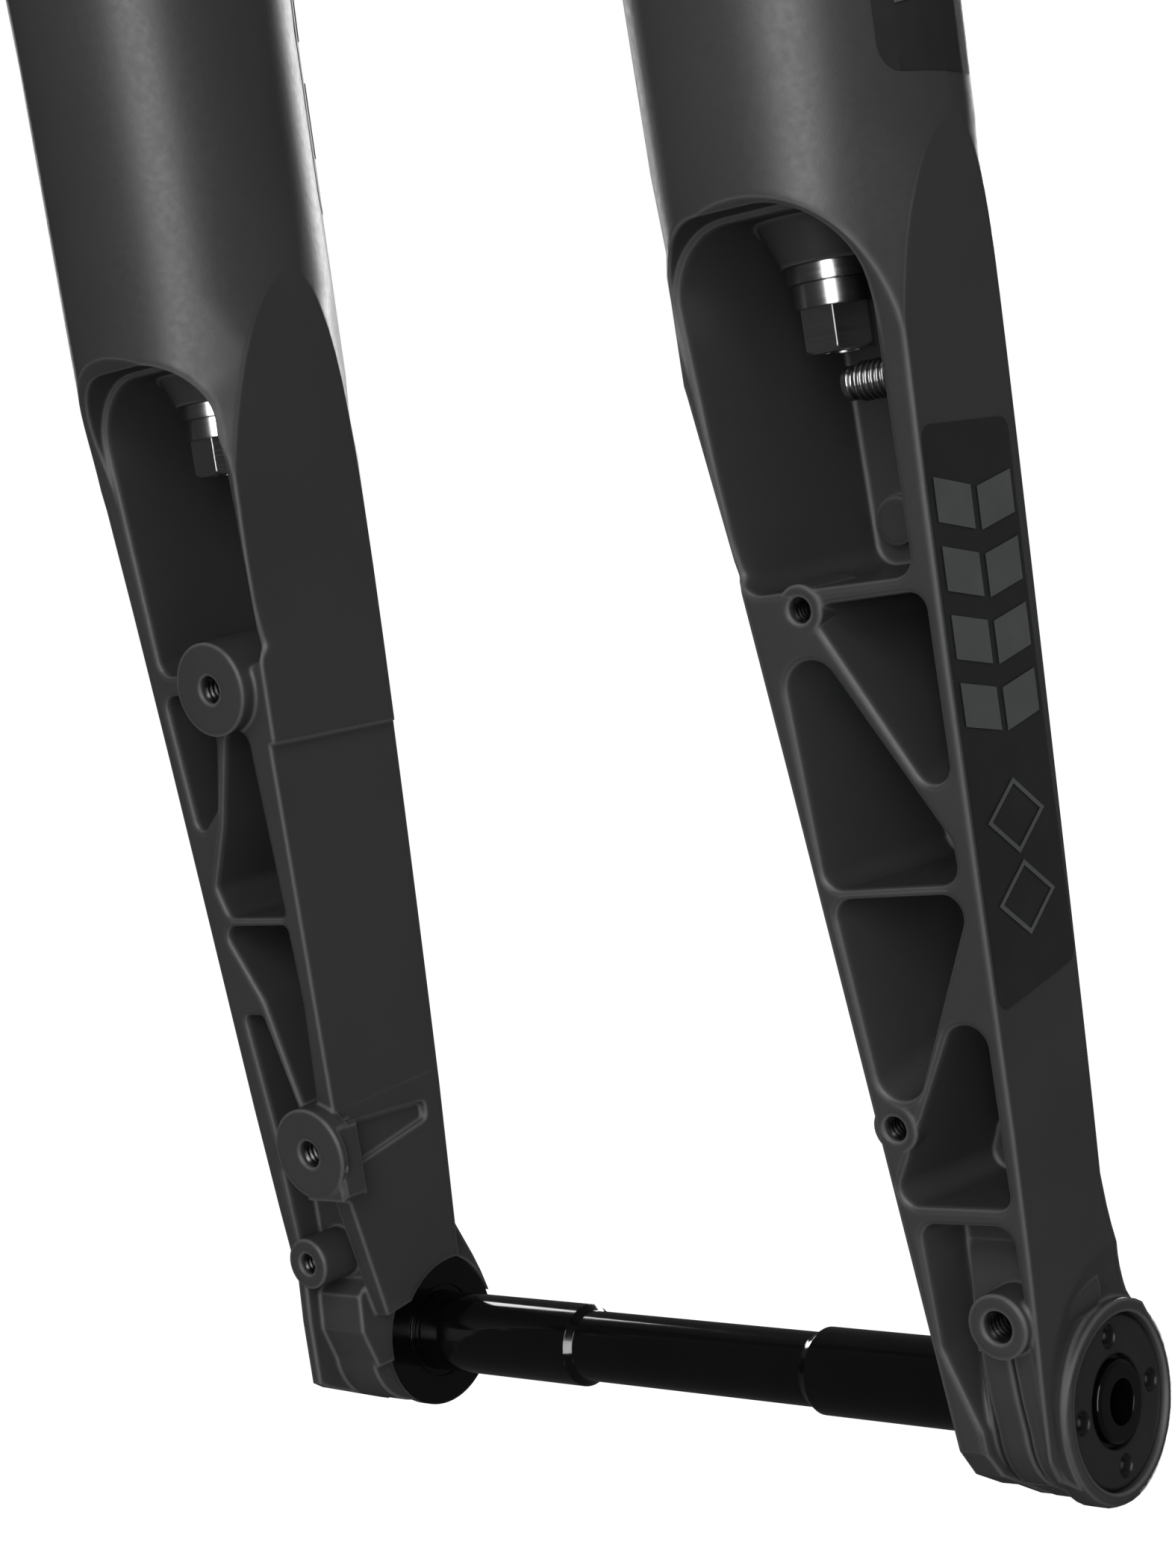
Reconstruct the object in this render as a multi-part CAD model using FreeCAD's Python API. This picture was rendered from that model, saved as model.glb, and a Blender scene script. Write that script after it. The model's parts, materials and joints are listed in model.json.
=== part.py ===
"""Gravel-bike suspension fork, in millimetres.

Origin: centre of the wheel axle, midway between the legs.
+X is the rider's right, +Y points forward, +Z runs up the legs to the steerer.
The fork stands fully extended, which is its rest position.
"""
import FreeCAD
import Part
import math
import os

os.makedirs("parts", exist_ok=True)
Vec = FreeCAD.Vector

# ---- driving dimensions -------------------------------------------------
LEG_X = 55.9                 # leg axis, each side of the middle
LEG_Y = -15.0                # leg axis, behind the axle
STEERER_Y = -45.0            # steerer axis, behind the axle (the rake)
CROWN_SEAT_Z = 435.0         # axle to crown race seat
STEERER_LENGTH = 265.0
HUB_WIDTH = 110.0            # between the two hub seats
AXLE_R = 5.98                # 12 mm thru axle
RUN_CLEAR = 0.05             # radial clearance of every running fit

STANCHION_R = 16.0
STANCHION_BORE_R = 14.2
STANCHION_BOTTOM_Z = 224.0
STANCHION_TOP_Z = 441.0
LEG_BORE_R = 16.9
LEG_TOP_Z = 345.0
FLOOR_TOP_Z = 160.0          # floor inside each lower leg

BRAKE_SPACING = 70.0         # flat-mount bolt spacing
BRAKE_X = 53.0
BRAKE_MID_Z = 69.05
M5_HOLE_R = 2.1
M4_HOLE_R = 1.65

# Rear face of each leg: a sloping plane, y = REAR_Y0 + REAR_SLOPE * z + REAR_TURN * (x - REAR_X)
REAR_Y0 = -17.54
REAR_SLOPE = -0.065
REAR_TURN = 0.06
REAR_X = 57.0
WEB_Y = -1.8                 # inner surface of the front web, behind the front skin

# Side faces of a leg, as (x, z) points from the dropout to where they fade into the round tube
OUTER_FACE = [(63.0, -30), (64.7, 0), (66.1, 16), (68.6, 64), (71.6, 127), (73.2, 145), (75.9, 160),
              (79.5, 174), (84, 186)]
INNER_FACE = [(54.3, -30), (52.0, 0), (49.0, 39), (44.4, 98), (40.4, 137), (36.0, 162), (31.5, 180)]
LEG_BOTTOM_Z = -30.0
LEG_ROUND = [(-30.0, 17.38), (196.0, 20.09), (208.0, 20.5), (318.0, 20.6), (325.0, 22.4), (344.0, 22.4),
             (345.0, 21.9)]   # (z, radius) of the round outer surface

# Pockets in the rear faces: corners as (x, z, corner radius)
RIGHT_POCKETS = {
    "tool_bay": [(43.6, 107.2, 3.0), (67.3, 107.2, 2.5), (68.8, 150.8, 9.5), (42.2, 150.8, 8.5)],
    "upper_triangle": [(52.3, 105.0, 2.0), (68.4, 105.2, 2.2), (67.3, 76.5, 2.2)],
    "upper_inner": [(47.2, 109.0, 3.6), (47.8, 70.4, 2.4), (66.2, 70.4, 2.4), (66.2, 75.5, 1.5)],
    "middle": [(48.4, 69.1, 2.2), (67.4, 69.1, 2.6), (50.9, 34.8, 3.2)],
    "lower_triangle": [(49.0, 30.3, 2.2), (65.3, 30.2, 1.8), (66.5, 61.9, 2.8)],
}
LEFT_POCKETS = {
    "tool_bay": [(43.6, 106.5, 3.0), (67.5, 106.5, 2.5), (68.8, 149.8, 9.5), (42.2, 149.8, 8.5)],
    "beside_brake": [(68.0, 103.4, 1.8), (66.7, 81.8, 1.4), (61.3, 86.0, 2.0), (58.2, 95.5, 2.0),
                     (57.5, 103.4, 1.0)],
    "upper_inner": [(50.6, 97.2, 2.0), (55.5, 97.2, 2.2), (60.6, 83.5, 5.0), (65.4, 74.3, 1.8),
                    (63.8, 69.6, 1.6), (50.6, 69.5, 1.0)],
    "middle": [(66.3, 68.2, 1.8), (59.8, 56.6, 6.0), (56.0, 39.8, 1.2), (52.8, 40.0, 1.2),
               (50.9, 56.0, 3.0),
               (50.8, 68.2, 1.2)],
    "slender": [(65.2, 54.4, 1.0), (61.0, 54.4, 1.0), (57.1, 40.0, 2.0), (58.6, 33.4, 0.9),
                (63.5, 33.9, 1.0)],
}
DROPOUT_POCKETS = {
    "right": [(52.3, 27.9, 2.0), (65.0, 27.9, 2.4), (63.2, -30.0, 0.5), (56.7, -30.0, 0.5),
              (56.0, 1.0, 1.0),
              (52.3, 12.0, 1.5)],
    "left": [(53.4, 26.4, 1.5), (58.2, 30.0, 2.0), (64.0, 31.4, 1.2), (62.6, -30.0, 0.5),
             (53.0, -30.0, 0.5)],
}
DROPOUT_FLOOR_Y = -11.5      # floor of the shallower pockets above the dropouts
POCKET_DRAFT_INNER = 4.6     # how far each side wall leans in, from the mouth to the front web
POCKET_DRAFT_OUTER = 1.6
POCKET_DRAFT_END = 0.8
NARROW_DRAFT = 0.25          # share of that draft in the narrow pockets
RIM_ROUND = 0.8

# Dropout barrels, round the axle
BARREL_R = 12.1
CLAMP_BAND_R = 12.4
OUTER_RING_R = 13.2
BARREL_INNER_X = 52.6
BARREL_OUTER_X = 64.4
HUB_RECESS_R = 10.4
CLAMP_GROOVES = [(56.4, 57.1), (61.0, 61.7)]   # each side of the clamp band, as x from and to
GROOVE_DEPTH = 1.3
# front outlines of the flares, as (y, z)
RIGHT_FLARE = [(10.7, 5.7), (6.4, 12.0), (2.2, 19.5), (-0.4, 28.0), (-1.6, 37.0)]
LEFT_FLARE = [(11.3, 3.0), (9.6, 8.0), (5.4, 17.0), (1.4, 27.0), (-0.8, 38.0)]
# slope dished round the outer ring, as (x, radius)
DISH = [(64.3, 13.0), (64.3, 14.0), (65.3, 17.0), (66.8, 21.5), (70.0, 21.5), (70.0, 13.0)]
PINCH_X = 61.5
PINCH_Z = 15.6
PINCH_BOSS_R = 4.1

PINCH_FACE_Y = -19.5
PINCH_TIP_Y = -10.0
PINCH_BACKING = [(-1.0, -0.4), (-15.6, -0.4), (-16.6, 5.0), (-17.2, 11.0), (-17.0, 15.0), (-10.0, 26.5),
                 (-1.0, 28.0)]   # (y, z) behind the boss
# slanted left side of the swelling behind the barrel, as (x, y)
PINCH_FLANK = [(51.5, -1.0), (51.5, -7.4), (56.8, -17.4), (66.0, -18.6), (66.0, -1.0)]
PINCH_SEAT_Y = -2.0
PINCH_SHANK_R = 2.45
M4_BOSS_R = 3.1
ACCESSORY_X = 51.35          # two accessory holes in the right leg's rear face
ACCESSORY_MID_Z = 72.5
ACCESSORY_SPACING = 64.7
ACCESSORY_HOLE_DEPTH = 8.0
BRAKE_BOSS_R = 6.9
BRAKE_PROUD = 3.0
BRAKE_HOLE_DEPTH = 14.0
GUIDE_X = 59.2               # small hose-guide boss above the left dropout
GUIDE_Z = 16.6
GUIDE_FACE_Y = -21.3
GUIDE_BOSS_R = 3.8
BRAKE_DISC_DEPTH = 1.2
BLOCK_X = 47.2               # square block that backs the lower brake boss on the inner face
BLOCK_Y = (-22.5, -17.5)
BLOCK_Z = (27.0, 38.3)
GROOVE_X = (47.0, 50.3)      # tapered groove forward of the block, mouth and floor
GROOVE = [(-17.4, 30.2, 0.9), (-17.4, 38.3, 0.9), (-1.0, 37.6, 1.7), (-1.0, 33.6, 1.7)]
LEFT_BARREL_R = 10.4
LEFT_HEEL_X = 63.0
LEFT_HEEL = [(-2.0, -9.7), (-6.1, -9.7), (-17.6, -4.2), (-19.3, -3.0), (-19.3, 6.7), (-18.6, 18.0),
             (-2.0, 18.0)]
LEFT_TOE_Z = -3.0
# inner wall cut away in front of and below the left barrel, as (y, z)
INNER_WALL_TRIM = [(-40, 26), (-19.2, 26), (-13.9, 6.9), (-8, 7.7), (20, 7.7), (20, -40), (-40, -40)]
GUIDE_BACKING = [(-1.0, -1.0), (-14.9, -1.0), (-17.0, 5.0), (-16.6, 10.4), (-13.6, 12.8), (-1.0, 14.6)]
# left inner face below its step, as (x, z); it fades out downwards
STEP_LINE = [(49.0, 39.0), (45.6, 95.0)]

# Bolts, seals and axle hardware
STUD_Y = -16.6               # threaded stud inside the right tool bay, for a tethered tool
STUD_Z = 130.5
STUD_R = 2.4
STUD_END_X = 70.4
STUD_PITCH = 0.8
SEAL_SEAT_Z = 336.0
SEAL_R = 19.2
SPRING_WIRE_R = 0.55
STEM_R = 3.45
STEM_HOLE_R = 3.6
COLLAR_R = 11.2
COLLAR_BODY_R = 8.0
COLLAR_SEAT_X = 62.4
COLLAR_FACE_X = 64.5
INSERT_BODY_R = 8.5
FLANGE_R = 11.4               # flange of the left insert
COLLAR_PIN_R = 1.55
COLLAR_PIN_CIRCLE_R = 8.4
AXLE_WAIST_R = 5.1
AXLE_HEX_FLATS = 5.0
FOOT_NUT_FLATS = 8.0
REBOUND_R = 1.9
REBOUND_HEX_FLATS = 2.0

# Crown, steerer and controls
CROWN_BOTTOM_Z = 405.0
STEERER_BORE_R = 11.5
STEERER_FOOT_R = 19.0
STEERER_SEAT_R = 19.9        # tapered steerer: 39.8 mm crown seat, 28.6 mm tube
STEERER_R = 14.3
ARCH_BACK_Y = 1.0
ARCH_DEPTH = 12.0
SPINDLE_R = 4.0

SIDES = {"right": 1, "left": -1}   # sign of X


# ---- helpers --------------------------------------------------------------
def cylinder(radius, start, end):
    """Solid cylinder from one point to another."""
    start = Vec(*start)
    along = Vec(*end) - start
    return Part.makeCylinder(radius, along.Length, start, along)


def hexagon(flats, x, y, z):
    """Corners of a level hexagon, by its width across the flats."""
    corner_r = flats / 2 / math.cos(math.pi / 6)
    return [Vec(x + corner_r * math.cos(math.radians(60 * i)),
                y + corner_r * math.sin(math.radians(60 * i)), z)
            for i in range(6)]


def turned(profile, origin, axis):
    """Solid turned about axis from origin; profile is (along the axis, radius) points."""
    axis = Vec(*axis).normalize()
    side = Vec(0, 1, 0) if abs(axis.x) > 0.5 else Vec(1, 0, 0)
    points = [Vec(*origin) + axis * along + side * radius for along, radius in profile]
    face = Part.Face(Part.makePolygon(points + [points[0]]))
    return face.revolve(Vec(*origin), axis, 360)


def smooth_edge(points):
    curve = Part.BSplineCurve()
    curve.interpolate(points)
    return curve.toShape()


def rounded_wire(corners, place):
    """Closed wire with rounded corners; corners are (u, v, radius), place maps (u, v) to a point."""
    count = len(corners)
    edges = []
    ends = []
    for i, (u, v, radius) in enumerate(corners):
        here = Vec(u, v, 0)
        before = Vec(corners[i - 1][0], corners[i - 1][1], 0) - here
        after = Vec(corners[(i + 1) % count][0], corners[(i + 1) % count][1], 0) - here
        half = before.getAngle(after) / 2
        reach = radius / math.tan(half)
        bisector = (before.normalize() + after.normalize()).normalize()
        middle = here + bisector * (radius / math.sin(half) - radius)
        ends.append((here + before * reach, middle, here + after * reach))
    for i, (arc_start, middle, arc_end) in enumerate(ends):
        next_start = ends[(i + 1) % count][0]
        edges.append(Part.Arc(place(arc_start), place(middle), place(arc_end)).toShape())
        edges.append(Part.makeLine(place(arc_end), place(next_start)))
    return Part.Wire(edges)


def extruded(points, direction):
    """Prism over a closed polygon of points."""
    return Part.Face(Part.makePolygon(points + [points[0]])).extrude(direction)


def mirrored(shape):
    return shape.mirror(Vec(0, 0, 0), Vec(1, 0, 0))


def one_solid(shape):
    """The single solid of a boolean result."""
    shape = shape.removeSplitter()
    return shape.Solids[0] if len(shape.Solids) == 1 else shape


def rear_y(x, z):
    return REAR_Y0 + REAR_SLOPE * z + REAR_TURN * (x - REAR_X)


# ---- the lower legs -------------------------------------------------------
def leg_blank():
    """Round leg, cut flat on its outer, inner and rear sides."""
    profile = [(LEG_BOTTOM_Z, 0.0)] + LEG_ROUND + [(LEG_TOP_Z, 0.0)]
    blank = turned(profile, (LEG_X, LEG_Y, 0), (0, 0, 1))
    return blank.common(side_profile()).common(rear_profile())


def side_profile():
    """Everything between the leg's outer and inner faces, with no limit above them."""
    reach_y = 60
    outer = [Vec(x, -reach_y, z) for x, z in OUTER_FACE]
    inner = [Vec(x, -reach_y, z) for x, z in INNER_FACE]
    top_right = Vec(100, -reach_y, OUTER_FACE[-1][1])
    top_left = Vec(10, -reach_y, INNER_FACE[-1][1])
    wall = Part.Wire([smooth_edge(outer), Part.makeLine(outer[-1], top_right),
                      Part.makeLine(top_right, Vec(100, -reach_y, LEG_TOP_Z + 5)),
                      Part.makeLine(Vec(100, -reach_y, LEG_TOP_Z + 5), Vec(10, -reach_y, LEG_TOP_Z + 5)),
                      Part.makeLine(Vec(10, -reach_y, LEG_TOP_Z + 5), top_left),
                      Part.makeLine(top_left, inner[-1]), smooth_edge(inner),
                      Part.makeLine(inner[0], outer[0])])
    return Part.Face(wall).extrude(Vec(0, 2 * reach_y, 0))


def rear_profile():
    """Everything in front of the rear face, whose top curls back over the tool bay to meet the tube."""
    curl_z = 132.0
    curl_r = 35.0
    curl_turn = math.radians(42)
    x0 = 20.0
    x1 = 95.0

    def at(y, z):
        return Vec(x0, y + REAR_TURN * (x0 - REAR_X), z)

    start = Vec(0, REAR_Y0 + REAR_SLOPE * curl_z, curl_z)
    lean = math.atan(-REAR_SLOPE)
    centre_y = start.y - curl_r * math.cos(lean)
    centre_z = start.z - curl_r * math.sin(lean)
    middle = (centre_y + curl_r * math.cos(lean + curl_turn / 2),
              centre_z + curl_r * math.sin(lean + curl_turn / 2))
    end = (centre_y + curl_r * math.cos(lean + curl_turn), centre_z + curl_r * math.sin(lean + curl_turn))
    heel_z = -4.0
    heel_y = REAR_Y0 + REAR_SLOPE * heel_z
    toe = (-5.5, -11.0)
    heel_round = 2.5
    slope = Vec(0, toe[0] - heel_y, toe[1] - heel_z).normalize()
    up = Vec(0, REAR_SLOPE, 1).normalize()
    heel = Vec(0, heel_y, heel_z)
    upper = heel + up * heel_round
    lower = heel + slope * heel_round
    mid = heel + (up + slope).normalize() * heel_round * 0.45
    edges = [Part.makeLine(at(upper.y, upper.z), at(start.y, start.z)),
             Part.Arc(at(start.y, start.z), at(*middle), at(*end)).toShape(),
             Part.makeLine(at(*end), at(-60, 172)),
             Part.makeLine(at(-60, 172), at(-60, LEG_TOP_Z + 5)),
             Part.makeLine(at(-60, LEG_TOP_Z + 5), at(40, LEG_TOP_Z + 5)),
             Part.makeLine(at(40, LEG_TOP_Z + 5), at(40, toe[1])),
             Part.makeLine(at(40, toe[1]), at(*toe)),
             Part.makeLine(at(*toe), at(lower.y, lower.z)),
             Part.Arc(at(lower.y, lower.z), at(mid.y, mid.z), at(upper.y, upper.z)).toShape()]
    width = x1 - x0
    return Part.Face(Part.Wire(edges)).extrude(Vec(width, REAR_TURN * width, 0))


def moved_out(corners, amount):
    """The same rounded outline with every side moved out by an amount."""
    count = len(corners)
    area = sum(corners[i - 1][0] * corners[i][1] - corners[i][0] * corners[i - 1][1] for i in range(count))
    turn = 1 if area > 0 else -1
    grown = []
    for i, (x, z, radius) in enumerate(corners):
        here = Vec(x, z, 0)
        before = (here - Vec(corners[i - 1][0], corners[i - 1][1], 0)).normalize()
        after = (Vec(corners[(i + 1) % count][0], corners[(i + 1) % count][1], 0) - here).normalize()
        normal_1 = Vec(before.y, -before.x, 0) * turn
        normal_2 = Vec(after.y, -after.x, 0) * turn
        shift = (normal_1 + normal_2) * (amount / (1 + normal_1.dot(normal_2)))
        grown.append((x + shift.x, z + shift.y, max(radius + amount, 0.3)))
    return grown


def leaned(corners, share):
    """Outline with its sides leaned in by a share of the casting draft."""
    xs = [c[0] for c in corners]
    zs = [c[1] for c in corners]
    moved = []
    for x, z, radius in corners:
        share_x = (x - min(xs)) / (max(xs) - min(xs))
        share_z = (z - min(zs)) / (max(zs) - min(zs))
        new_x = x + share * (POCKET_DRAFT_INNER * (1 - share_x) - POCKET_DRAFT_OUTER * share_x)
        new_z = z + share * POCKET_DRAFT_END * (1 - 2 * share_z)
        moved.append((new_x, new_z, radius))
    return moved


def pocket(corners, draft, floor_y=WEB_Y):
    """Drafted pocket from the rear face to the front web, its mouth rounded in two steps."""
    wires = []
    for depth, grow in ((-25.0, 1.0), (0.0, 1.0), (0.28, 0.28), (1.0, 0.0)):
        outline = moved_out(corners, grow * RIM_ROUND)
        offset = depth * (RIM_ROUND if depth > 0 else 1)
        wires.append(rounded_wire(outline, lambda p, o=offset: Vec(p.x, rear_y(p.x, p.y) + o, p.y)))
    wires.append(rounded_wire(leaned(corners, draft), lambda p: Vec(p.x, floor_y, p.y)))
    return Part.makeLoft(wires, True, True)


def hull_of_circles(x0, x1, circle_1, circle_2):
    """Prism along X round two circles, each (y, z, radius), the first one larger."""
    y1, z1, r1 = circle_1
    y2, z2, r2 = circle_2
    gap = math.hypot(y2 - y1, z2 - z1)
    aim = math.atan2(z2 - z1, y2 - y1)
    spread = math.acos((r1 - r2) / gap)

    def on(y, z, r, angle):
        return Vec(x0, y + r * math.cos(angle), z + r * math.sin(angle))

    far = aim + math.pi
    edges = [Part.Arc(on(y1, z1, r1, aim + spread), on(y1, z1, r1, far),
                      on(y1, z1, r1, aim - spread)).toShape(),
             Part.makeLine(on(y1, z1, r1, aim - spread), on(y2, z2, r2, aim - spread)),
             Part.Arc(on(y2, z2, r2, aim - spread), on(y2, z2, r2, aim),
                      on(y2, z2, r2, aim + spread)).toShape(),
             Part.makeLine(on(y2, z2, r2, aim + spread), on(y1, z1, r1, aim + spread))]
    return Part.Face(Part.Wire(edges)).extrude(Vec(x1 - x0, 0, 0))


def front_flare(x0, outline):
    """Web that swells forward from the leg to the front of the axle barrel, flush with the outer face."""
    x1 = 70.0
    points = [Vec(x0, y, z) for y, z in outline]
    back_top = Vec(x0, -4.0, points[-1].z)
    back_foot = Vec(x0, -4.0, points[0].z)
    edges = [smooth_edge(points), Part.makeLine(points[-1], back_top), Part.makeLine(back_top, back_foot),
             Part.makeLine(back_foot, points[0])]
    return Part.Face(Part.Wire(edges)).extrude(Vec(x1 - x0, 0, 0)).common(side_profile())


def tool_bay_details():
    """Cast cone round the foot-nut thread, the small disc on the web and the bay's flat ceiling."""
    cone = turned([(145.2, 0), (145.2, 5.8), (150.0, 8.0), (152.0, 9.4), (154.0, 9.4), (154.0, 0)],
                  (LEG_X, LEG_Y, 0), (0, 0, 1))
    disc = cylinder(3.1, (52.0, -3.0, 113.5), (52.0, 0, 113.5))
    return cone.fuse(disc)


def bore_stack():
    """Everything bored on the leg axis: stanchion bore, seal housing and the shaft hole in the floor."""
    bore = turned([(FLOOR_TOP_Z, 0), (FLOOR_TOP_Z, LEG_BORE_R), (SEAL_SEAT_Z, LEG_BORE_R),
                   (SEAL_SEAT_Z, SEAL_R), (LEG_TOP_Z + 1, SEAL_R), (LEG_TOP_Z + 1, 0)],
                  (LEG_X, LEG_Y, 0), (0, 0, 1))
    return bore.fuse(cylinder(STEM_HOLE_R, (LEG_X, LEG_Y, 140), (LEG_X, LEG_Y, FLOOR_TOP_Z + 1)))


def barrel_section(x0, x1):
    """The right barrel's cross-section: round in front, swollen behind and running up to the pinch boss."""
    barrel = hull_of_circles(x0, x1, (0, 0, BARREL_R), (-6.4, 0.6, 9.4))
    backing = extruded([Vec(x0, y, z) for y, z in PINCH_BACKING], Vec(x1 - x0, 0, 0))
    flank = extruded([Vec(x, y, -10) for x, y in PINCH_FLANK], Vec(0, 0, 50))
    return barrel.fuse(backing.common(flank))


def left_dropout():
    """Slimmer barrel behind the threaded insert's flange, a front lug and a boxy outer heel."""
    barrel = hull_of_circles(HUB_WIDTH / 2, BARREL_OUTER_X, (0, 0, LEFT_BARREL_R), (-6.4, 0.2, 8.8))
    heel = extruded([Vec(LEFT_HEEL_X, y, z) for y, z in LEFT_HEEL],
                    Vec(BARREL_OUTER_X + 0.2 - LEFT_HEEL_X, 0, 0))
    backing = extruded([Vec(54.2, y, z) for y, z in GUIDE_BACKING], Vec(10.0, 0, 0))
    return barrel.fuse(heel).fuse(backing).fuse(front_flare(HUB_WIDTH / 2, LEFT_FLARE))


def hub_recess(x_face, radius):
    """Recess for the hub's end cap, open at the bottom so that the wheel drops in."""
    disc = cylinder(radius, (x_face - 5, 0, 0), (HUB_WIDTH / 2, 0, 0))
    mouth = Part.makeBox(HUB_WIDTH / 2 - x_face + 5, 2 * radius, 20, Vec(x_face - 5, -radius, -20))
    return disc.fuse(mouth)


def right_leg():
    leg = leg_blank()
    for corners in RIGHT_POCKETS.values():
        leg = leg.cut(pocket(corners, 1.0))
    leg = leg.cut(pocket(DROPOUT_POCKETS["right"], NARROW_DRAFT, DROPOUT_FLOOR_Y))
    flare = front_flare(BARREL_INNER_X, RIGHT_FLARE)
    leg = leg.fuse(flare).cut(turned(DISH, (0, 0, 0), (1, 0, 0)))
    band = cylinder(CLAMP_BAND_R, (CLAMP_GROOVES[0][1], 0, 0), (CLAMP_GROOVES[1][0], 0, 0))
    outer_ring = turned([(61.7, 0), (61.7, OUTER_RING_R), (64.0, OUTER_RING_R),
                         (64.9, OUTER_RING_R - 0.35),
                         (65.2, OUTER_RING_R - 1.1), (65.2, 0)], (0, 0, 0), (1, 0, 0))
    pinch_boss = cylinder(PINCH_BOSS_R, (PINCH_X, PINCH_FACE_Y, PINCH_Z), (PINCH_X, -2.0, PINCH_Z))
    barrel = barrel_section(BARREL_INNER_X, BARREL_OUTER_X)
    leg = leg.fuse([tool_bay_details(), barrel, band, outer_ring, pinch_boss])
    for x0, x1 in CLAMP_GROOVES:
        floor = barrel_section(x0, x1)
        floor.translate(Vec(0, GROOVE_DEPTH, GROOVE_DEPTH * 0.7))
        zone = Part.makeBox(x1 - x0, 29, 50, Vec(x0, -30, -38.5))
        leg = leg.cut(zone.cut(floor))
    leg = leg.cut(hub_recess(BARREL_INNER_X, HUB_RECESS_R))
    leg = leg.cut(cylinder(COLLAR_BODY_R + RUN_CLEAR, (50, 0, 0), (70, 0, 0)))
    leg = leg.cut(cylinder(COLLAR_R + 0.1, (COLLAR_SEAT_X, 0, 0), (75, 0, 0)))
    slit = Part.makeBox(CLAMP_GROOVES[1][1] - CLAMP_GROOVES[0][0], 1.2, 17,
                        Vec(CLAMP_GROOVES[0][0], -0.6, 6))
    leg = leg.cut(slit)
    leg = leg.cut(cylinder(M5_HOLE_R, (PINCH_X, PINCH_FACE_Y - 1, PINCH_Z), (PINCH_X, -8, PINCH_Z)))
    leg = leg.cut(cylinder(PINCH_SHANK_R + RUN_CLEAR, (PINCH_X, PINCH_TIP_Y, PINCH_Z),
                           (PINCH_X, 20, PINCH_Z)))
    out = face_normal()
    for point in accessory_points():
        leg = leg.fuse(cylinder(M4_BOSS_R, point, point - out * (ACCESSORY_HOLE_DEPTH + 1.5)))
        leg = leg.cut(cylinder(M4_HOLE_R, point + out * 3, point - out * ACCESSORY_HOLE_DEPTH))
    boss = turned([(67.6, 0), (67.6, 3.6), (68.4, 4.4), (71.4, 4.4), (71.4, 0)], (0, STUD_Y, STUD_Z),
                  (1, 0, 0))
    stud_hole = cylinder(STUD_R + RUN_CLEAR, (60, STUD_Y, STUD_Z), (STUD_END_X, STUD_Y, STUD_Z))
    return one_solid(leg.fuse(boss).cut(stud_hole).cut(bore_stack()))


def face_normal():
    """Direction square to the rear face, pointing backward."""
    return Vec(0, -1, REAR_SLOPE).normalize()


def hole_pair(x, mid_z, spacing, proud):
    """Two points on the rear face, one above the other; the spacing is measured along the sloping face."""
    half = spacing / 2 * math.cos(math.atan(-REAR_SLOPE))
    return [Vec(x, rear_y(x, z) - proud, z) for z in (mid_z + half, mid_z - half)]


def accessory_points():
    return hole_pair(ACCESSORY_X, ACCESSORY_MID_Z, ACCESSORY_SPACING, 0.0)


def brake_points():
    return hole_pair(BRAKE_X, BRAKE_MID_Z, BRAKE_SPACING, BRAKE_PROUD)


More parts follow.
